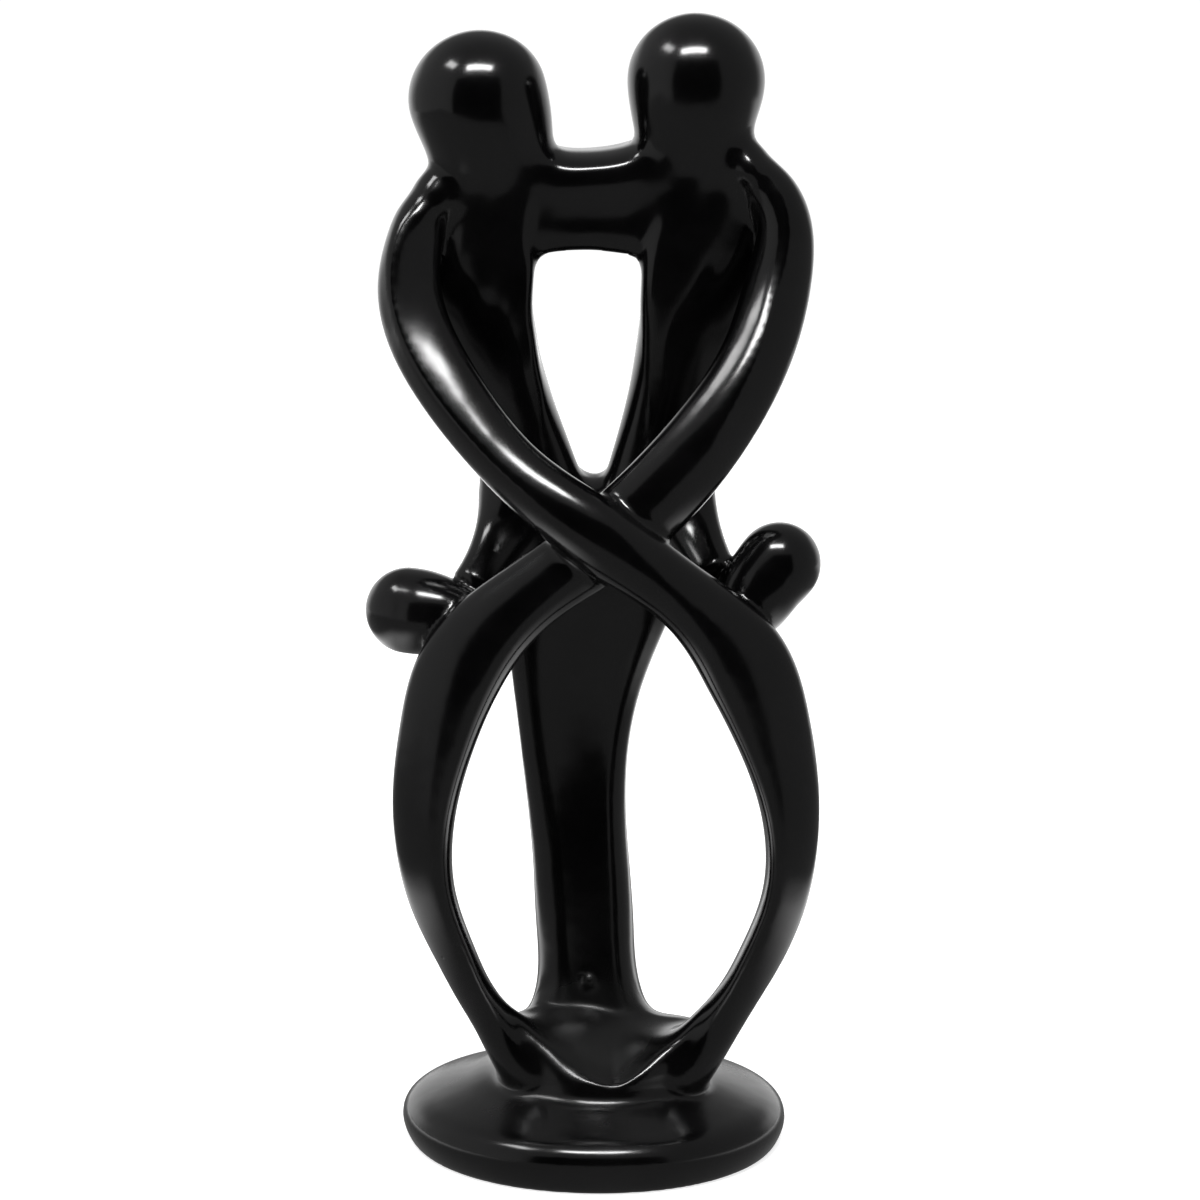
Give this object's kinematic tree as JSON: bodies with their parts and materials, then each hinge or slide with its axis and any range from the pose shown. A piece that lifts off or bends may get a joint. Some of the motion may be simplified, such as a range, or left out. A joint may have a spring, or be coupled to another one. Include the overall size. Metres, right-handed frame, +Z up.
{
  "type": "soapstone family sculpture",
  "caption": "Abstract carved stone family: two parents joined at the shoulders, arms crossing in front and running down into two children, on a round foot.",
  "frame": {"origin": "centre of the round foot's flat underside", "axes": "+Z up; the figures face -Y; +X is the viewer's right when looking at the front"},
  "size_m": [0.1006, 0.0876, 0.2539],
  "materials": {
    "black_stone": "dyed black soapstone, waxed and polished to a high gloss"
  },
  "bodies": {
    "root": {"family_group": "black_stone"}
  },
  "joints": []
}
